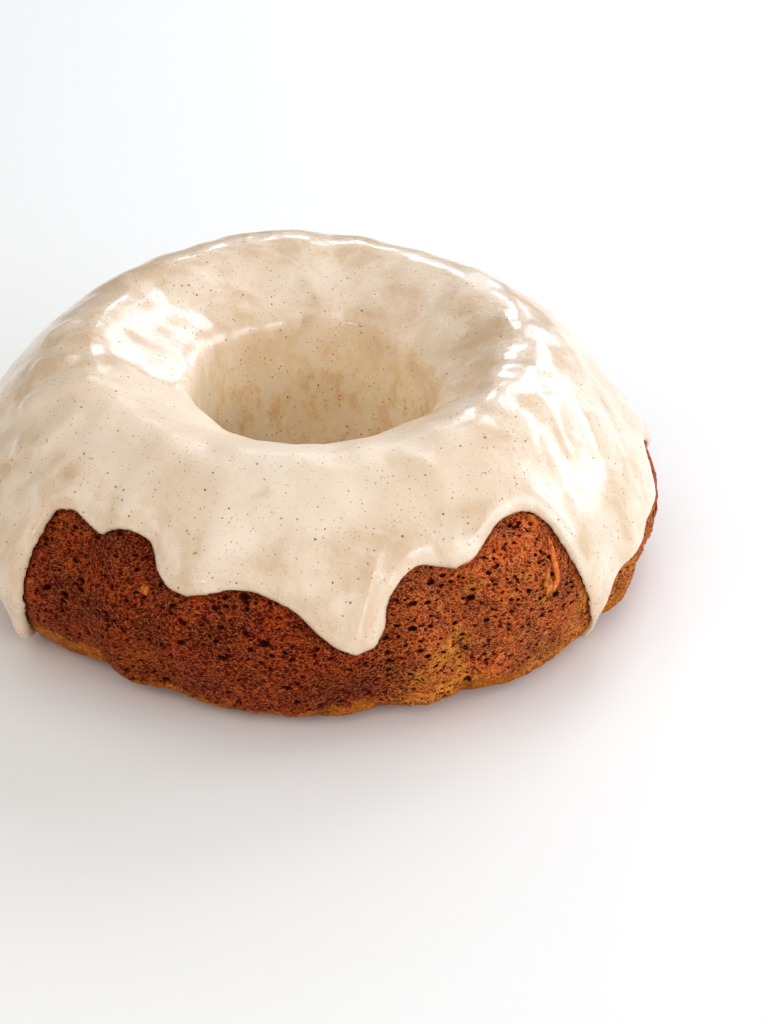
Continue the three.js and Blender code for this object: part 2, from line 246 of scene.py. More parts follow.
def surface_tree(node_name):
    """A search tree over a solid of the frame."""
    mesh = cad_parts[node_name].data
    return BVHTree.FromPolygons([v.co for v in mesh.vertices], [p.vertices[:] for p in mesh.polygons])


def distances(tree, places):
    return np.array([tree.find_nearest(Vector(p))[3] for p in places])


def finish_piece(piece, material, *nodes, slot):
    """Gives a piece its material and smooth shading, and says what it rides on and replaces."""
    piece.data.materials.append(material)
    make_active(piece)
    bpy.ops.object.shade_smooth()
    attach(piece, BODY)
    if nodes:
        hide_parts(*nodes)


# ---------------------------------------------------------------- properties


def colour_property(name, description, hex_colour):
    return bpy.props.FloatVectorProperty(
        name=name, description=description, subtype="COLOR", size=4, default=linear(hex_colour)
    )


def length_property(name, description, millimetres):
    return bpy.props.FloatProperty(
        name=name, description=description, default=millimetres * MM, unit="LENGTH"
    )


class CakeIcingProperties(bpy.types.PropertyGroup):
    colour: colour_property("Icing", "Cream sugar glaze", "#F7E1C5")
    # Painted light on the glaze in the hole.
    painted_hole_light_colour: colour_property("Thin icing", "Glaze that the crumb shows through", "#FFEAC2")
    veil_colour: colour_property("Veils", "Tan streaks and patches of thinner glaze", "#DFBE96")
    stain_colour: colour_property("Stained icing", "Where crumb has coloured the glaze", "#E6BA7E")
    speck_colour: colour_property("Specks", "Ground cinnamon in the glaze", "#8A4612")
    voxel: length_property("Mesh size", "Edge length of the coat's mesh", 1.1)
    wave_height: length_property("Waves", "Height of the coat's soft waves", 0.9)
    roughness: bpy.props.FloatProperty(name="Roughness", description="Of the wet glaze", default=0.3)


class CakeCrumbProperties(bpy.types.PropertyGroup):
    colour: colour_property("Crumb", "Brown baked crumb", "#CC480E")
    dark_colour: colour_property("Dark crumb", "Dusky patches of the bake", "#8A2C06")
    golden_colour: colour_property("Golden crumb", "Warmer patches, most of them low", "#E07410")
    # Painted light on the walls and grains of the foam, plain and on the lit side.
    painted_wall_light_colour: colour_property("Light crumb", "Moist walls between the bubbles", "#F09C58")
    painted_wall_light_lit_side_colour: colour_property("Soft light crumb", "The same on the paler side", "#E47E4C")
    # Painted shade in the bubble holes, large and small.
    painted_hole_shade_colour: colour_property("Holes", "Depth of a large bubble hole", "#4A0E02")
    painted_small_hole_shade_colour: colour_property("Small holes", "Floor of a small bubble hole", "#6E1602")
    # Painted glints: points of light on the moist crumb.
    painted_glint_colour: colour_property("Glints", "Moist golden points on the crumb", "#F8C080")
    crust_colour: colour_property("Crust", "Smooth golden crust under the wall", "#AA5406")
    flour_colour: colour_property("Crust, light", "Floury grains of the crust", "#D48018")
    grain_colour: colour_property("Crust, dark", "Darker grains of the crust", "#6A3204")
    scorch_colour: colour_property("Crust, scorched", "Where it touched the tin longest", "#6E3408")
    voxel: length_property("Mesh size", "Edge length of the crumb's mesh", 0.64)
    hole_depth: length_property("Hole depth", "Depth of the largest holes", 1.7)


class CakeShredProperties(bpy.types.PropertyGroup):
    colour: colour_property("Carrot", "Grated carrot in the crumb", "#EC7A14")
    fibre_colour: colour_property("Carrot fibres", "Its darker fibres", "#D05A0A")
    gold_colour: colour_property("Baked carrot", "Shreds that turned golden", "#D67A18")
    gold_fibre_colour: colour_property("Baked fibres", "Their darker fibres", "#8E3E08")
    count: bpy.props.IntProperty(name="Shreds", description="How many lie in the wall", default=44)


class CakeStageProperties(bpy.types.PropertyGroup):
    floor_colour: colour_property("Floor", "Pale floor", "#FBF7EF")
    sky_colour: colour_property("Sky", "Light all round", "#FBFBFF")
    sky_strength: bpy.props.FloatProperty(name="Sky strength", description="Its brightness", default=0.16)
    brightness: bpy.props.FloatProperty(name="Lamps", description="Share of full power", default=1.0)


# ---------------------------------------------------------------- icing


HOLE_CENTRE = (-0.37, -2.88)  # millimetres

# Sizes of the glaze's patterns in millimetres: the drift that bends the others, veils, sheets of
# thinner glaze, blotches in the hole, broad patches, ripples, and patches that have dried.
DRIFT, VEIL, SHEET, BLOTCH, PATCH, RIPPLE, DRIED = 20, 15, 13, 6, 34, 4, 9

# Cinnamon specks, in millimetres: the spacing of the cells, the share of cells that hold one, the
# widest radius as a share of the spacing, and how dark they are. The smallest stand for powder that
# is too fine to show, and are drawn coarser and paler for it.
SPECKS = (
    (2.7, 0.65, 0.18, 0.95),
    (1.7, 0.95, 0.2, 0.72),
    (1.15, 0.95, 0.23, 0.42),
)
FAINTEST_SPECK = 0.4  # next to the darkest of its size


def speck_share(add, place):
    """How much of the speck colour shows at a place."""
    total = None
    for size, share, radius, darkness in SPECKS:
        inside, chance = dots(add, place, size, share, radius)
        strength = add(SMOOTH_STEP, chance, 0.0, 1.0, FAINTEST_SPECK * darkness, darkness)
        dot = add(MULTIPLY, add(SMOOTH_STEP, inside, 0.0, 0.25), strength)
        total = dot if total is None else add(MAXIMUM, total, dot)
    return total


def glaze_colour(add, place, flowing, wet, settings):
    """Cream with tan veils, with painted light and stains in the hole, and specks all over."""
    hole_wall = add(STORED, attribute_name="hole_wall")
    veils = add(NOISE, flowing, 1 / VEIL, 4, 0.6)
    sheets = add(NOISE, add(MOVE, flowing, (50, 20, 0)), 1 / SHEET)
    blotches = add(NOISE, add(STRETCH, place, (1, 1, 0.7)), 1 / BLOTCH, 4, 0.62)
    patches = add(NOISE, place, 1 / PATCH)
    tan = add(SMOOTH_STEP, veils, 0.4, 0.66, 0.0, 0.6)
    tan = add(ADD, tan, add(SMOOTH_STEP, sheets, 0.46, 0.6, 0.0, 0.22))
    tan = add(MULTIPLY, tan, add(SMOOTH_STEP, wet, 0.0, 1.0, 0.2, 1.0))
    tan = add(ADD, tan, add(SMOOTH_STEP, patches, 0.36, 0.6, 0.0, 0.35))
    cream = add(MIX, tan, settings.colour, settings.veil_colour)
    # Painted light on the glaze in the hole, in blotches.
    painted_hole_light = add(MULTIPLY, hole_wall, add(SMOOTH_STEP, blotches, 0.34, 0.62, 0.55, 1.0))
    cream = add(MIX, painted_hole_light, cream, settings.painted_hole_light_colour)
    stained = add(MULTIPLY, hole_wall, add(SMOOTH_STEP, blotches, 0.42, 0.66, 0.0, 0.7))
    cream = add(MIX, stained, cream, settings.stain_colour)
    return add(MIX, speck_share(add, place), cream, settings.speck_colour)


def glaze_material(settings):
    """Powdered-sugar glaze with cinnamon: milky, so light scatters inside it, with crisp and
    finely rippled highlights where it is still wet, and duller where a skin has dried."""
    material, add, feed_shader = new_material("glaze_cream_cinnamon")
    place = add(STRETCH, add(OBJECT_PLACE), TO_MM)
    wet = add(STORED, attribute_name="wet")
    drift = add(NOISE, place, 1 / DRIFT, out="Color")
    flowing = shifted(add, add(STRETCH, place, (1, 1, 0.6)), drift, (22, 22, 22))
    dragged = shifted(add, place, drift, (7, 7, 7))
    ripples = add(NOISE, dragged, 1 / RIPPLE, 5, 0.6)
    drying = add(NOISE, dragged, 1 / DRIED, 4, 0.6)
    shine = add(MULTIPLY, wet, add(SMOOTH_STEP, drying, 0.34, 0.5, 0.35, 1.0))
    feed_shader({
        "Base Color": glaze_colour(add, place, flowing, wet, settings),
        "Normal": add(BUMP, ripples, 0.6, 0.6 * MM),
        "Roughness": add(SMOOTH_STEP, shine, 0.0, 1.0, 0.5, settings.roughness),
        "Coat Weight": add(SMOOTH_STEP, shine, 0.0, 1.0, 0.04, 0.65),
        "Coat Roughness": 0.11,
        "IOR": 1.48,
        "Subsurface Weight": 0.3,
        "Subsurface Radius": (1.0, 0.75, 0.45),
        "Subsurface Scale": 2.0 * MM,
    })
    return material


# Folds, lumps and dents of the coat, each as (points that it runs through, width, height) in
# millimetres; a dent has a height below 0.
FOLDS = (
    (((21.3, -102.4, 62.0), (18.6, -110.2, 52.8), (15.1, -118.0, 42.2)), 2.4, 1.0),
    (((12.0, -106.0, 61.0), (12.6, -113.0, 51.0), (10.5, -118.0, 43.5)), 3.6, -0.7),
    (((30.0, -74.0, 81.5), (41.0, -81.0, 76.5), (45.5, -90.0, 67.0), (45.0, -95.0, 60.0)), 4.0, 0.9),
    (((27.5, -77.5, 80.2), (37.0, -76.5, 79.8)), 2.2, 0.6),
    (((6.0, -83.5, 81.0), (13.0, -83.0, 81.2)), 2.0, 0.5),
    (((-17.2, -91.6, 77.4), (-14.8, -91.6, 77.5)), 1.3, -0.9),
    (((-12.3, -91.2, 77.8), (-11.6, -91.2, 77.8)), 1.6, 0.5),
    (((41.5, -9.0, 66.5), (46.5, -13.5, 71.5)), 3.4, 1.3),
    (((47.0, -13.0, 72.0), (56.0, -8.0, 78.0), (68.0, -8.0, 82.0)), 4.6, 0.5),
    (((45.0, -22.0, 73.0), (56.0, -18.0, 79.0), (72.0, -20.0, 82.5)), 4.2, 0.35),
    (((42.0, 2.0, 65.0), (50.0, 3.0, 74.5), (57.0, 9.0, 79.0)), 3.8, 0.45),
    (((36.0, 20.0, 65.0), (43.0, 27.0, 74.0), (49.0, 36.0, 80.0)), 4.2, 0.5),
    (((-94.0, -10.0, 79.5), (-84.0, -14.0, 84.0)), 3.4, 1.1),
    (((-96.0, -28.0, 74.0), (-86.0, -36.0, 80.5), (-75.0, -33.0, 84.5)), 3.4, 1.2),
    (((-92.0, -22.0, 78.5), (-84.0, -26.0, 82.5)), 2.8, -1.0),
    (((-97.0, -44.0, 66.0), (-88.0, -52.0, 71.0), (-78.0, -50.0, 79.5)), 3.6, 1.1),
    (((-90.0, -62.0, 62.0), (-82.0, -62.0, 72.0)), 3.0, 0.8),
    (((-86.0, 12.0, 84.0), (-93.0, 8.0, 81.0)), 3.0, 0.9),
    (((90.0, -24.0, 74.0), (98.0, -40.0, 58.0)), 2.6, 0.4),
    (((82.0, -42.0, 76.0), (88.0, -52.0, 65.0)), 2.6, 0.4),
    (((98.0, -18.0, 66.0), (105.0, -32.0, 48.0)), 2.6, 0.4),
    (((70.0, -48.0, 79.0), (77.0, -60.0, 70.0)), 3.0, 0.4),
)


def fold_height(places):
    """How far the folds lift each place, in millimetres."""
    lift = np.zeros(len(places))
    for points, width, height in FOLDS:
        nearest = np.full(len(places), 1e9)
        for start, end in zip(points, points[1:]):
            start, along = np.array(start), np.array(end) - np.array(start)
            t = np.clip((places - start) @ along / (along @ along), 0, 1)
            nearest = np.minimum(nearest, np.linalg.norm(places - start - t[:, None] * along, axis=1))
        lift += height * np.exp(-((nearest / width) ** 2))
    return lift


# Glaze that ran on past a drip, as (from, to, radius at the start, radius at the end), in
# millimetres.
TRICKLES = (
    ((95.4, -70.4, 18.0), (95.1, -68.3, 14.0), 1.9, 2.1),
    ((95.1, -68.3, 14.0), (94.8, -66.0, 11.0), 2.1, 2.1),
    ((94.8, -66.0, 11.0), (94.2, -64.5, 7.5), 2.1, 1.8),
    ((94.2, -64.5, 7.5), (91.4, -62.6, 2.4), 1.8, 2.3),
    ((-98.2, -69.5, 11.0), (-98.2, -63.5, 4.2), 3.2, 3.0),
    ((-98.2, -63.5, 4.2), (-95.0, -57.5, 2.0), 3.0, 1.9),
)
TRICKLE_STEP = 1.5 * MM  # about this far from ball to ball


def add_trickle(start, end, start_radius, end_radius):
    """A run of glaze as a tapered row of balls, which the coat's new mesh melts together."""
    made = []
    start, end = Vector(start) * MM, Vector(end) * MM
    steps = max(2, round((end - start).length / TRICKLE_STEP))
    for i in range(steps + 1):
        t = i / steps
        bpy.ops.mesh.primitive_ico_sphere_add(
            subdivisions=2, radius=(start_radius + (end_radius - start_radius) * t) * MM,
            location=start.lerp(end, t),
        )
        made.append(bpy.context.active_object)
    return made


# Width and height of the coat's swells and lumps, in millimetres.
SWELL = (26, 60)
LUMP = (11, 26)
LUMP_SHARE = 0.7  # height of the lumps next to the swells
CALM_SHARE = 0.45  # of that height, low down the sides
# Between these distances from the sponge, in millimetres, the coat turns from its edge, which
# keeps the solid's form, to its open surface, which is smoothed, waved and folded.
EDGE_TO_OPEN = (1.6, 3.0)
COAT_BACK = 0.8  # millimetres: what is nearer to the sponge than this is the coat's hidden back
COAT_RISE = 0.25  # millimetres that the open surface rises to make up for the smoothing
COAT_SMOOTHING = 8  # rounds over the whole coat, to take off the steps of its mesh
OPEN_SMOOTHING = 60  # rounds more over its open surface
SMOOTHING_STRENGTH = 0.5
COAT_BACK_KEPT = 0.2  # share of the hidden back's triangles that are kept
COAT_TRIANGLES = 195000

# Where the coat changes, each as where that begins and where it is in full.
OUT_OF_HOLE = (52, 66)  # millimetres from the hole's centre
ABOVE_FUNNEL = (46, 76)  # millimetres above the table
CROWN_FROM = (66, 72)  # millimetres above the table
CROWN_RIM = (96, 102)  # millimetres from the hole's centre
LIVELY_FROM = (52, 72)  # millimetres above the table
FRONT_FROM = (-95, -60)  # degrees from the front
FRONT_TO = (30, 62)  # degrees from the front
DRY_SIDE = 0.2  # how dry the front's sides are
DRY_CROWN = 0.68  # how much drier its crown is


class CAKE_OT_icing(bpy.types.Operator):
    """Pours the icing coat"""

    bl_idname = "cake.icing"
    bl_label = "Icing"

    def execute(self, context):
        settings = context.scene.cake_icing
        coat = copy_of("icing", "icing_coat")
        join([coat, *(run for trickle in TRICKLES for run in add_trickle(*trickle))])
        modify(coat, "REMESH", mode="VOXEL", voxel_size=settings.voxel)
        modify(coat, "SMOOTH", iterations=COAT_SMOOTHING, factor=SMOOTHING_STRENGTH)

        clear = distances(surface_tree("sponge"), vertex_places(coat)) / MM
        broad = smooth_step(clear, *EDGE_TO_OPEN)
        weight_group(coat, "broad", broad)
        modify(
            coat, "SMOOTH", iterations=OPEN_SMOOTHING, factor=SMOOTHING_STRENGTH, vertex_group="broad"
        )
        coat.vertex_groups.clear()

        places, normals = vertex_places(coat), vertex_normals(coat)
        lift = np.array([self.wave(Vector(p) / MM) for p in places]) * settings.wave_height / MM
        lift = (lift + fold_height(places / MM) + COAT_RISE) * MM
        set_vertices(coat, places + normals * (lift * broad)[:, None])
        self.mark_glaze(coat)
        thin_hidden(coat, (clear < COAT_BACK).astype(float), COAT_BACK_KEPT, COAT_TRIANGLES)
        finish_piece(coat, glaze_material(settings), "icing", slot="icing")
        return {"FINISHED"}

    def wave(self, place):
        """Waves of the coat in shares of the wave height: broad swells, and lumps that are calmer
        down the sides."""
        x, y, z = place
        swell = noise.noise(Vector((x / SWELL[0], y / SWELL[0], z / SWELL[1])))
        lumps = noise.noise(Vector((x / LUMP[0] + 7, y / LUMP[0], z / LUMP[1])))
        lively = CALM_SHARE + (1 - CALM_SHARE) * smooth_step(z, *LIVELY_FROM)
        return swell + lively * LUMP_SHARE * lumps

    def mark_glaze(self, coat):
        """Marks the foot of the funnel and the wall of the hole, where light is painted on the glaze and
        it is stained, and where it is still wet: all over but at the front, where a skin has dried, most
        of all on the crown."""
        places = vertex_places(coat) / MM
        east, south = places[:, 0] - HOLE_CENTRE[0], HOLE_CENTRE[1] - places[:, 1]
        radius = np.hypot(east, south)
        in_hole = 1 - smooth_step(radius, *OUT_OF_HOLE)
        store_values(coat, "hole_wall", in_hole * (1 - smooth_step(places[:, 2], *ABOVE_FUNNEL)))
        turn = np.degrees(np.arctan2(east, south))
        front = smooth_step(turn, *FRONT_FROM) * (1 - smooth_step(turn, *FRONT_TO))
        crown = smooth_step(places[:, 2], *CROWN_FROM) * (1 - smooth_step(radius, *CROWN_RIM))
        store_values(coat, "wet", 1 - front * (DRY_SIDE + DRY_CROWN * crown))


# ---------------------------------------------------------------- crumb

# Bubble holes by size, in millimetres: the spacing of the cells, the share of cells that hold a
# hole, the widest radius as a share of the spacing, and how deep they go next to the deepest.
HOLES = (
    (6.6, 0.42, 0.3, 1.0),
    (3.6, 0.8, 0.38, 0.65),
    (2.3, 0.9, 0.42, 0.4),
)
FOAM_CELL = 1.6  # millimetres across: bubbles too fine for the mesh, which the material draws

# How high the crumb is tinged with gold, as (angle from the front in degrees, height in mm).
GOLDEN_EDGE = (
    (-62, 36), (-52, 30), (-45, 20), (-38, 18), (-33, 22), (-29, 36), (-24, 30), (-20, 15), (-8, 12),
    (6, 12), (14, 16), (19, 34), (23, 36), (27, 17), (35, 13), (42, 18), (47, 32), (53, 42), (60, 46),
    (75, 40), (92, 16), (110, 24), (130, 14), (150, 30), (172, 14), (195, 28), (215, 14), (236, 32),
    (255, 16), (275, 24),
)

# Upper edge of the smooth golden crust, as (angle from the front in degrees, height in mm).
CRUST_EDGE = (
    (-62, 11), (-53, 15), (-49, 16), (-43, 14.5), (-39, 14.8), (-37, 12), (-33, 9), (-28, 8.6),
    (-18, 9.3), (-13, 8.3), (-8, 7.7), (-2, 9), (2, 9.3), (6, 11.5), (10, 10.5), (13, 8), (18, 6.4),
    (21, 7.5), (24, 9.7), (28, 10.4), (33, 11), (38, 8), (43, 5.6), (50, 5), (58, 8),
    (66, 15), (75, 12), (90, 9), (104, 14), (118, 12), (126, 8), (140, 9), (152, 14), (170, 12),
    (178, 8), (200, 8.5), (216, 13), (232, 14), (244, 8), (262, 9), (280, 13),
)

# Sizes of the crumb's patterns in millimetres: the batter's flow, the rough rims of the bubbles,
# crags, slow swells of the wall, dusky and warm patches, grains and glints. The grains are drawn
# as coarse as they have to be to show.
FLOW, RIM, CRAG, WALL_SWELL, DUSK, WARMTH, GRAIN, GLINT = 38, 1.5, 2.4, 8, 16, 11, 0.7, 1.5
# The same for the crust: its ragged upper edge, its floury grains and its scorched patches.
RAGGED, FLOUR, SCORCH = 5, 0.9, 7

CRAG_HEIGHT = 1.8 * MM
WALL_SWELL_HEIGHT = 2.0 * MM
CRUST_STEP = 0.3 * MM  # how far the crust lies under the crumb above it
COVERED_STEP = 0.15 * MM  # how far the crumb draws back under the icing

# Painted light and shade: one side of the cake is painted lighter, as if lit, and the other darker, as if
# in shade: (between these angles from the front, in degrees, it turns lighter, and between these it turns
# back), and the tint of each.
LIT_SIDE_ANGLES = (6, 24, 110, 160)
SHADED_SIDE_TINT = (0.84, 0.58, 0.42, 1.0)
LIT_SIDE_TINT = (1.52, 2.08, 2.2, 1.0)
LIT_SIDE_CONTRAST = 0.72  # of the painted light and shade on the lit side's grains and bubbles, next to the shaded side's

FOAM_TILT = (0, 0, 14)  # millimetres over which the flow lifts and lowers the rows of bubbles
FOAM_FLATNESS = (1, 1, 1.65)
RIM_REACH = (1.5, 1.5, 1.5)  # millimetres over which the bubbles' rims stray

UNDER_ICING = (0.32, 0.7)  # millimetres from the icing: covered at the first, bare at the second
STANDING_EDGE = (0.0, 1.5)  # millimetres above the table: the relief begins, and is in full
CRUMB_SMOOTHING = 10  # rounds, to take off the steps of the new mesh
HIDDEN_KEPT = 0.1  # share of the hidden triangles that are kept
CRUMB_TRIANGLES = 190000


def foam_place(add, place):
    """The place that the bubbles follow: flattened, so that they lie wider than high, tilted
    this way and that by the batter's flow, and roughened at their rims."""
    flow = add(NOISE, place, 1 / FLOW, 1, out="Color")
    flat = add(STRETCH, shifted(add, place, flow, FOAM_TILT), FOAM_FLATNESS)
    rough = add(NOISE, flat, 1 / RIM, out="Color")
    return shifted(add, flat, rough, RIM_REACH)


def depth_in_holes(add, foam, size, share, radius, *_):
    """How deep a place lies in the holes of one size: 0 outside them, 1 at their floor."""
    inside, _ = dots(add, foam, size, share, radius)
    return add(MULTIPLY, inside, 2.0, use_clamp=True)


def crust_share(add, place, crust_edge):
    """1 on the smooth golden crust at the foot of the wall, 0 on open crumb."""
    ragged = add(NOISE, place, 1 / RAGGED, 4, 0.65)
    top = add(ADD, crust_edge, add(SMOOTH_STEP, ragged, 0.25, 0.75, -3.0, 3.0))
    above = add(SUBTRACT, add(SPLIT, place, out=2), top)
    return add(SMOOTH_STEP, above, -0.7, 0.5, 1.0, 0.0)


def relief_modifier(piece, settings):
    """Sinks the bubble holes into the mesh and makes it craggy. The places before that are kept
    in an attribute, so that the colours meet the holes."""
    tree = bpy.data.node_groups.new("crumb_relief", "GeometryNodeTree")
    for way in ("INPUT", "OUTPUT"):
        tree.interface.new_socket("Geometry", in_out=way, socket_type="NodeSocketGeometry")
    add = partial(add_node, tree)
    mesh_place = add(MESH_PLACE)
    kept = add(STORE, add(MESH_IN), "rest", mesh_place)
    place = add(STRETCH, mesh_place, TO_MM)
    foam = foam_place(add, place)
    crust = crust_share(add, place, add(MESH_STORED, "crust_edge"))
    open_crumb = add(SUBTRACT, 1.0, crust)

    holes = None
    for *hole, depth in HOLES:
        floor = add(MULTIPLY, depth_in_holes(add, foam, *hole), depth)
        holes = floor if holes is None else add(MAXIMUM, holes, floor)
    sunk = add(MULTIPLY, add(MULTIPLY, holes, open_crumb), -settings.hole_depth)
    crag = add(MULTIPLY, add(SUBTRACT, add(NOISE, foam, 1 / CRAG, 3, 0.6), 0.5), CRAG_HEIGHT)
    crag = add(MULTIPLY, crag, add(SMOOTH_STEP, open_crumb, 0.0, 1.0, 0.3, 1.0))
    swell = add(SUBTRACT, add(NOISE, place, 1 / WALL_SWELL), 0.42)
    rough = add(ADD, crag, add(MULTIPLY, swell, WALL_SWELL_HEIGHT))
    relief = add(ADD, add(ADD, sunk, rough), add(MULTIPLY, crust, -CRUST_STEP))
    relief = add(MULTIPLY, relief, add(MESH_STORED, "bare"))
    drawn_back = add(MULTIPLY, add(MESH_STORED, "covered"), -COVERED_STEP)
    offset = add(LENGTHEN, add(MESH_NORMAL), add(ADD, relief, drawn_back))
    moved = add(SET_PLACE, kept, offset)
    tree.links.new(moved, tree.nodes.new("NodeGroupOutput").inputs[0])
    modify(piece, "NODES", node_group=tree)


def bake_colour(add, place, settings):
    """Brown with dusky patches, and golden low down and in patches."""
    dusk = add(NOISE, place, 1 / DUSK, 3, 0.55)
    warmth = add(NOISE, add(STRETCH, place, (1, 1, 1.3)), 1 / WARMTH, 3, 0.6)
    brown = add(MIX, add(SMOOTH_STEP, dusk, 0.38, 0.6), settings.dark_colour, settings.colour)
    below = add(SUBTRACT, add(STORED, attribute_name="golden_edge"), add(SPLIT, place, out=2))
    patches = add(SMOOTH_STEP, warmth, 0.36, 0.56, 0.2, 0.9)
    low = add(MULTIPLY, add(SMOOTH_STEP, below, -3.0, 9.0), patches)
    gold = add(ADD, low, add(SMOOTH_STEP, warmth, 0.52, 0.72, 0.0, 0.7), use_clamp=True)
    return add(MIX, gold, brown, settings.golden_colour)


def crust_colour(add, place, flour, settings):
    """Gold with floury and with darker grains, and a few scorched patches."""
    scorched = add(SMOOTH_STEP, add(NOISE, place, 1 / SCORCH), 0.45, 0.7, 0.0, 0.7)
    floury = add(SMOOTH_STEP, flour, 0.46, 0.62, 0.0, 0.8)
    dark = add(SMOOTH_STEP, flour, 0.46, 0.34, 0.0, 0.7)
    tone = add(MIX, floury, settings.crust_colour, settings.flour_colour)
    tone = add(MIX, dark, tone, settings.grain_colour)
    return add(MIX, scorched, tone, settings.scorch_colour)


def foam_cells(add, foam):
    """The finest bubbles, as (1 on the walls between them, how hollow each one is)."""
    edge = add(CELLS, foam, 1 / FOAM_CELL, feature="DISTANCE_TO_EDGE")
    chance = add(SPLIT, add(CELLS, foam, 1 / FOAM_CELL, out="Color"), out=2)
    return add(SMOOTH_STEP, edge, 0.04, 0.22, 1.0, 0.0), add(SMOOTH_STEP, chance, 0.05, 0.55)


def crumb_material(settings):
    """Baked sponge: an open foam of thin brown walls, dull, with painted light on the grains of its walls,
    painted shade in the bubble holes and between the grains, painted glints, and one side painted lighter
    as if lit and the other darker; golden and smooth where it set as a crust."""
    material, add, feed_shader = new_material("baked_crumb")
    place = add(STRETCH, add(STORED, attribute_name="rest", out="Vector"), TO_MM)
    foam = foam_place(add, place)
    crust = crust_share(add, place, add(STORED, attribute_name="crust_edge"))
    open_crumb = add(SUBTRACT, 1.0, crust)
    # Painted light and shade by side: 1 on the side that is painted lighter, as if lit.
    painted_lit_side = add(STORED, attribute_name="painted_lit_side")
    contrast = add(SMOOTH_STEP, painted_lit_side, 0.0, 1.0, 1.0, LIT_SIDE_CONTRAST)

    # Walls of the foam with painted light on their grains, and painted shade in the hollows between them.
    grains = add(NOISE, foam, 1 / GRAIN, 2.5, 0.65)
    walls, hollow = foam_cells(add, foam)
    bubble = add(MULTIPLY, add(SUBTRACT, 1.0, walls), hollow)
    light = add(MIX, painted_lit_side, settings.painted_wall_light_colour, settings.painted_wall_light_lit_side_colour)
    lit = add(MULTIPLY, walls, add(SMOOTH_STEP, grains, 0.38, 0.62, 0.0, 0.72))
    crumb = add(MIX, add(MULTIPLY, lit, contrast), bake_colour(add, place, settings), light)
    crumb = add(MIX, add(SMOOTH_STEP, grains, 0.5, 0.72, 0.0, 0.5), crumb, light)
    # Painted shade in the gaps between the grains and in the finest bubbles.
    for shade in (add(SMOOTH_STEP, grains, 0.46, 0.28, 0.0, 0.75), add(MULTIPLY, bubble, 0.95)):
        crumb = add(MIX, add(MULTIPLY, shade, contrast), crumb, settings.painted_small_hole_shade_colour)
    # Painted light and shade: the lit side is tinted lighter and the other side darker.
    tint = add(MIX, painted_lit_side, SHADED_SIDE_TINT, LIT_SIDE_TINT)
    crumb = add(MIX, 1.0, crumb, tint, blend_type="MULTIPLY")

    # Painted shade in the bubble holes, and painted glints beside them.
    large, middle, small = (depth_in_holes(add, foam, *hole) for hole in HOLES)
    pits = add(MAXIMUM, add(MULTIPLY, small, 0.85), middle)
    crumb = add(MIX, add(SMOOTH_STEP, pits, 0.08, 0.6, 0.0, 0.95), crumb, settings.painted_small_hole_shade_colour)
    deep = add(MAXIMUM, large, add(SMOOTH_STEP, middle, 0.35, 0.9, 0.0, 0.8))
    crumb = add(MIX, add(SMOOTH_STEP, deep, 0.0, 0.4), crumb, settings.painted_hole_shade_colour)
    pits = add(MAXIMUM, large, pits)
    glint, _ = dots(add, place, GLINT, 0.6, 0.19)
    beside = add(SMOOTH_STEP, pits, 0.3, 0.05, 0.0, 0.75)
    glint = add(MULTIPLY, add(SMOOTH_STEP, glint, 0.1, 0.5), beside)
    crumb = add(MIX, glint, crumb, settings.painted_glint_colour)

    # Grain that stands up from both, and the dull shine on it.
    flour = add(NOISE, place, 1 / FLOUR, 3, 0.65)
    foam_height = add(SUBTRACT, add(SMOOTH_STEP, grains, 0.25, 0.75), bubble)
    height = add(SUBTRACT, foam_height, add(MULTIPLY, pits, open_crumb))
    height = add(ADD, add(MULTIPLY, height, open_crumb), add(MULTIPLY, flour, crust))
    moist = add(MULTIPLY, add(MULTIPLY, glint, open_crumb), 0.15)
    feed_shader({
        "Base Color": add(MIX, crust, crumb, crust_colour(add, place, flour, settings)),
        "Normal": add(BUMP, height, 1.0, 0.8 * MM),
        "Roughness": add(SUBTRACT, add(SMOOTH_STEP, height, 0.1, 0.9, 0.75, 0.42), moist),
        "Specular IOR Level": 0.15,
        "IOR": 1.4,
    })
    return material


class CAKE_OT_crumb(bpy.types.Operator):
    """Bakes the sponge with its open crumb"""

    bl_idname = "cake.crumb"
    bl_label = "Crumb"

    def execute(self, context):
        settings = context.scene.cake_crumb
        cake = copy_of("sponge", "sponge_crumb")
        modify(cake, "REMESH", mode="VOXEL", voxel_size=settings.voxel)
        modify(cake, "SMOOTH", iterations=CRUMB_SMOOTHING, factor=SMOOTHING_STRENGTH)

        places = vertex_places(cake)
        clear = distances(surface_tree("icing"), places) / MM
        covered = 1 - smooth_step(clear, *UNDER_ICING)
        bare = (1 - covered) * smooth_step(places[:, 2] / MM, *STANDING_EDGE)
        store_values(cake, "covered", covered)
        store_values(cake, "bare", bare)
        angles = np.degrees(np.arctan2(places[:, 0], -places[:, 1]))
        for name, edge in (("crust_edge", CRUST_EDGE), ("golden_edge", GOLDEN_EDGE)):
            edge = np.array(sorted(edge))
            store_values(cake, name, np.interp(angles, edge[:, 0], edge[:, 1], period=360))
        # Painted light and shade: 1 on the side that is painted lighter, as if lit.
        painted_lit_side = smooth_step(angles, *LIT_SIDE_ANGLES[:2]) * (1 - smooth_step(angles, *LIT_SIDE_ANGLES[2:]))
        store_values(cake, "painted_lit_side", painted_lit_side)
        relief_modifier(cake, settings)
        thin_hidden(cake, 1 - bare, HIDDEN_KEPT, CRUMB_TRIANGLES)
        finish_piece(cake, crumb_material(settings), "sponge", slot="sponge")
        return {"FINISHED"}


# ---------------------------------------------------------------- carrot shreds

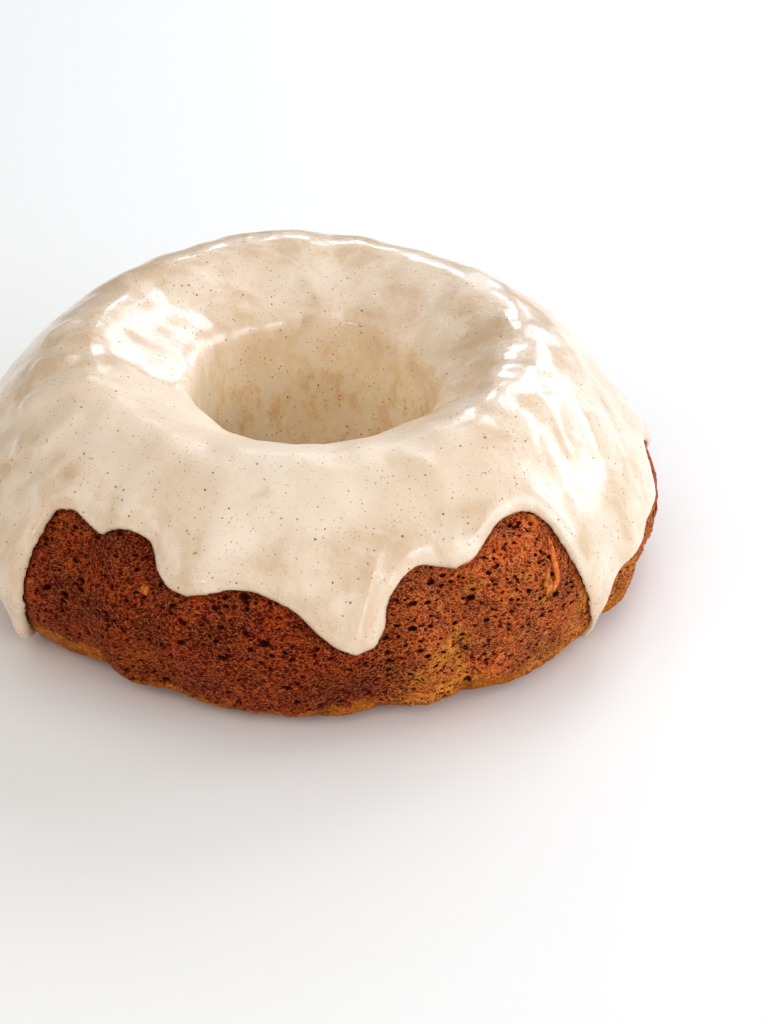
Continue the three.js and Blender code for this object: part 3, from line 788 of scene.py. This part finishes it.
# Shreds that stand out at the front, as (points on the wall as (angle, height) in degrees and mm,
# width in mm, share of golden colour).
BOLD_SHREDS = (
    (((45.6, 51.5), (45.2, 47.0), (44.0, 43.0), (43.6, 40.0), (41.9, 37.0)), 2.7, 0.1),
    (((42.9, 44.4), (41.4, 41.0), (41.8, 38.7), (40.6, 36.4)), 3.6, 0.9),
    (((39.6, 53.2), (40.4, 51.2)), 2.2, 0.8),
    (((22.0, 34.5), (22.5, 31.0), (21.9, 27.6)), 2.8, 0.8),
    (((19.5, 17.0), (21.5, 14.0)), 2.4, 0.6),
    (((16.4, 13.2), (18.8, 12.2), (20.9, 12.6)), 2.4, 0.5),
    (((-27.9, 48.4), (-27.0, 45.2)), 2.4, 0.7),
    (((43.4, 59.0), (43.2, 56.8)), 2.4, 0.8),
)
BESIDE_ICING = 0.4 * MM  # a shred that would come nearer to the icing than this is left out
FRONT = 60  # degrees on each side of the front where only the bold shreds lie
FIBRE = 1.4  # millimetres across the carrot's fibres
SHRED_FLATNESS = 0.4  # thickness next to its width
SHRED_RISE = 0.2  # millimetres that its middle lies above the crumb
SHRED_UNEVENNESS = 0.9  # share by which its width may vary
SHRED_TAPER = 0.5  # share of its width and thickness that is left at its ends
OUTSIDE = 0.2  # metres from the cake's middle, well outside it

# The shreds round the sides and back are drawn by chance, in these ranges of millimetres.
SHRED_SEED = 7
SHRED_HEIGHTS = (9, 55)
SHRED_LENGTHS = (1.5, 4)
SHRED_WIDTHS = (1.0, 2.2)
DEGREE_WIDTH = 2  # millimetres of wall to a degree round the cake


def carrot_material(settings):
    """Grated carrot, softened by baking: moist and slightly translucent, with darker fibres, and
    orange or gone golden."""
    material, add, feed_shader = new_material("baked_carrot")
    place = add(STRETCH, add(OBJECT_PLACE), TO_MM)
    fibres = add(NOISE, place, 1 / FIBRE)
    orange = add(MIX, add(SMOOTH_STEP, fibres, 0.35, 0.65), settings.colour, settings.fibre_colour)
    gold = add(MIX, add(SMOOTH_STEP, fibres, 0.4, 0.6), settings.gold_colour, settings.gold_fibre_colour)
    feed_shader({
        "Base Color": add(MIX, add(STORED, attribute_name="golden"), orange, gold),
        "Roughness": 0.45,
        "Specular IOR Level": 0.25,
        "Subsurface Weight": 0.1,
        "Subsurface Radius": (1.0, 0.4, 0.1),
        "Subsurface Scale": 1.5 * MM,
    })
    return material


class CAKE_OT_shreds(bpy.types.Operator):
    """Sets grated carrot into the wall"""

    bl_idname = "cake.shreds"
    bl_label = "Carrot shreds"

    def execute(self, context):
        settings = context.scene.cake_shreds
        chance = random.Random(SHRED_SEED)
        self.wall = surface_tree("sponge")
        self.crumb = BVHTree.FromObject(
            bpy.data.objects["sponge_crumb"], context.evaluated_depsgraph_get()
        )
        icing = surface_tree("icing")
        shreds = list(BOLD_SHREDS)
        while len(shreds) < settings.count:
            angle, height = chance.uniform(-180, 180), chance.uniform(*SHRED_HEIGHTS)
            length, lean = chance.uniform(*SHRED_LENGTHS), chance.uniform(0, 2 * math.pi)
            tip = (angle + math.cos(lean) * length / DEGREE_WIDTH, height + math.sin(lean) * length)
            if not -FRONT < angle < FRONT:
                width = chance.uniform(*SHRED_WIDTHS)
                shreds.append((((angle, height), tip), width, chance.random()))
        made = []
        for points, width, golden in shreds:
            path = [self.on_wall(*point) for point in points]
            if all(icing.find_nearest(place)[3] >= BESIDE_ICING for place, _ in path):
                made.append(self.shred(path, width, golden))
        piece = join(made)
        piece.name = piece.data.name = "carrot_shreds"
        finish_piece(piece, carrot_material(settings), slot="sponge")
        return {"FINISHED"}

    def on_wall(self, angle, height):
        """The place on the crumb at an angle from the front and a height, and the way that the
        wall faces there."""
        outward = Vector((math.sin(math.radians(angle)), -math.cos(math.radians(angle)), 0))
        start = Vector((0, 0, height * MM)) + outward * OUTSIDE
        return self.crumb.ray_cast(start, -outward)[0], self.wall.ray_cast(start, -outward)[1]

    def shred(self, path, width, golden):
        """One shred: a flat strip of uneven width with tapered ends, which follows its path. It is
        shaped from a ball whose length, width and depth run along x, y and z."""
        bpy.ops.mesh.primitive_ico_sphere_add(subdivisions=3, radius=0.5, location=(0, 0, 0))
        piece = bpy.context.active_object
        for v in piece.data.vertices:
            x, y, z = v.co
            along = min(max(x + 0.5, 0), 0.9999) * (len(path) - 1)
            i = int(along)
            (start, facing), (end, _) = path[i], path[i + 1]
            across = facing.cross((end - start).normalized())
            rough = 1 + SHRED_UNEVENNESS * noise.noise(start / MM * 0.37 + Vector((along * 2.2, y * 2, z)))
            taper = (1 - abs(2 * x) ** 4) * (1 - SHRED_TAPER) + SHRED_TAPER
            aside = across * y * width * rough + facing * (z * SHRED_FLATNESS * width + SHRED_RISE)
            v.co = start.lerp(end, along - i) + aside * MM * taper
        store_values(piece, "golden", np.full(len(piece.data.vertices), golden))
        return piece


# ---------------------------------------------------------------- stage

CAMERA_PLACE = (0.023376, -0.767527, 0.487728)  # metres
CAMERA_TILT = 58.29  # degrees up from straight down
CAMERA_LENS = 88.19  # millimetres
CAMERA_SENSOR = 36  # millimetres, its long side

DAYLIGHT = "#E6EFFF"
WHITE = "#FFFFFF"

# Soft boxes as (name, place, width, height, power, colour), in metres and watts. All face the cake.
LIGHTS = (
    ("pane_hole", (0.62, 1.4, 1.0), 0.66, 0.9, 11.0, DAYLIGHT),
    ("pane_back", (0.0, 1.6, 0.85), 0.3, 0.35, 3.0, DAYLIGHT),
    ("pane_right", (1.15, 1.0, 0.62), 0.5, 0.6, 6.0, DAYLIGHT),
    ("pane_side", (1.5, 0.45, 0.6), 0.5, 0.6, 6.0, DAYLIGHT),
    ("side_right", (1.7, -0.85, 0.55), 1.8, 1.0, 20.0, DAYLIGHT),
    ("ceiling", (-0.2, 0.15, 1.6), 1.6, 1.6, 7.0, WHITE),
    ("front_top", (-0.1, -1.3, 1.3), 1.5, 1.0, 8.0, WHITE),
    ("fill_left", (-1.4, -0.5, 0.9), 1.1, 1.0, 5.0, WHITE),
    ("front_strip_left", (-0.65, -1.35, 0.5), 0.5, 0.07, 1.6, DAYLIGHT),
    ("front_strip_right", (1.2, -0.8, 0.62), 0.9, 0.07, 2.0, DAYLIGHT),
)
LIGHT_AIM = (0, 0, 0.05)
FLOOR_SIZE = 8  # metres


class CAKE_OT_stage(bpy.types.Operator):
    """Sets the floor, the lights and the camera"""

    bl_idname = "cake.stage"
    bl_label = "Stage"

    def execute(self, context):
        settings = context.scene.cake_stage
        deselect_all()
        bpy.ops.mesh.primitive_plane_add(size=FLOOR_SIZE, location=(0, 0, 0))
        floor = context.active_object
        floor.name = "floor"
        # A plain matt ground in place of a table: no pattern and no mirror image of the cake.
        material, _, feed_shader = new_material("pale_floor")
        feed_shader({"Base Color": settings.floor_colour, "Roughness": 0.6})
        floor.data.materials.append(material)

        for name, place, width, height, power, colour in LIGHTS:
            light = bpy.data.lights.new(name, "AREA")
            light.shape = "RECTANGLE"
            light.size, light.size_y = width, height
            light.energy = power * settings.brightness
            light.color = linear(colour)[:3]
            lamp = bpy.data.objects.new(name, light)
            lamp.location = place
            lamp.rotation_euler = (Vector(LIGHT_AIM) - Vector(place)).to_track_quat("-Z", "Y").to_euler()
            context.scene.collection.objects.link(lamp)

        world = bpy.data.worlds.new("bright_room")
        world.use_nodes = True
        sky = {"Color": settings.sky_colour, "Strength": settings.sky_strength}
        feed(world.node_tree, world.node_tree.nodes["Background"], sky)
        context.scene.world = world
        context.scene.view_settings.view_transform = "Standard"

        lens = bpy.data.cameras.new("camera")
        lens.lens = CAMERA_LENS
        lens.sensor_width = CAMERA_SENSOR
        lens.clip_start, lens.clip_end = 0.01, 50
        camera = bpy.data.objects.new("camera", lens)
        camera.location = CAMERA_PLACE
        camera.rotation_euler = (math.radians(CAMERA_TILT), 0, 0)
        context.scene.collection.objects.link(camera)
        context.scene.camera = camera
        return {"FINISHED"}


# ---------------------------------------------------------------- add-on


class CAKE_PT_panel(bpy.types.Panel):
    bl_label = "Fluted ring cake"
    bl_idname = "CAKE_PT_panel"
    bl_space_type = "VIEW_3D"
    bl_region_type = "UI"
    bl_category = "Cake"

    def draw(self, context):
        for title, group, operator in STEPS:
            box = self.layout.box()
            box.label(text=title)
            settings = getattr(context.scene, group)
            for name in settings.bl_rna.properties.keys():
                if name not in ("rna_type", "name"):
                    box.prop(settings, name)
            box.operator(operator)


STEPS = (
    ("Crumb", "cake_crumb", "cake.crumb"),
    ("Icing", "cake_icing", "cake.icing"),
    ("Carrot shreds", "cake_shreds", "cake.shreds"),
    ("Stage", "cake_stage", "cake.stage"),
)
GROUPS = {
    "cake_crumb": CakeCrumbProperties,
    "cake_icing": CakeIcingProperties,
    "cake_shreds": CakeShredProperties,
    "cake_stage": CakeStageProperties,
}
CLASSES = (*GROUPS.values(), CAKE_OT_crumb, CAKE_OT_icing, CAKE_OT_shreds, CAKE_OT_stage, CAKE_PT_panel)


def register():
    for cls in CLASSES:
        bpy.utils.register_class(cls)
    for name, group in GROUPS.items():
        setattr(bpy.types.Scene, name, bpy.props.PointerProperty(type=group))


def unregister():
    for name in GROUPS:
        delattr(bpy.types.Scene, name)
    for cls in reversed(CLASSES):
        bpy.utils.unregister_class(cls)


def main():
    register()
    bpy.ops.cake.crumb()
    bpy.ops.cake.icing()
    bpy.ops.cake.shreds()
    bpy.ops.cake.stage()


if __name__ == "__main__":
    main()
